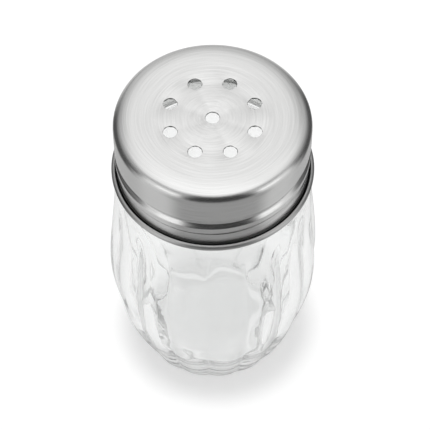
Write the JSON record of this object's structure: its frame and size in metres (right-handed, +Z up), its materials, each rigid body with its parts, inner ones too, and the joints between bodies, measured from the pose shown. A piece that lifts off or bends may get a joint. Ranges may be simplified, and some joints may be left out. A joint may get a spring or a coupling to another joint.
{
  "type": "spice shaker",
  "caption": "Clear glass spice shaker: a rounded jar with upright lobes, a shallow pushed-up base and a threaded neck, closed by a perforated brushed-steel screw lid with a curled rim.",
  "frame": {"origin": "centre of the jar's foot, on the surface that it stands on", "axes": "+Z up along the jar's axis, -Y towards the front of the picture, +X to its right"},
  "size_m": [0.0696, 0.0696, 0.116],
  "materials": {
    "glass": "clear pressed glass, polished",
    "seal": "soft off-white liner",
    "steel": "stainless sheet, circular brushing on top and round the skirt"
  },
  "bodies": {
    "jar": {"glass_jar": "glass"},
    "seal": {"lid_seal": "seal"},
    "lid": {"perforated_lid": "steel"}
  },
  "joints": [
    {"name": "lid_rise", "type": "slide", "parent": "jar", "child": "seal", "axis": [0, 0, 1], "range_m": [0, 0.00838]},
    {"name": "lid_turn", "type": "hinge", "parent": "seal", "child": "lid", "pos_m": [0, 0, 0.1], "axis": [0, 0, 1], "range_deg": [0, 450]}
  ],
  "couplings": [
    {"joint": "lid_rise", "follows": "lid_turn", "m_per_rad": 0.0010663}
  ]
}
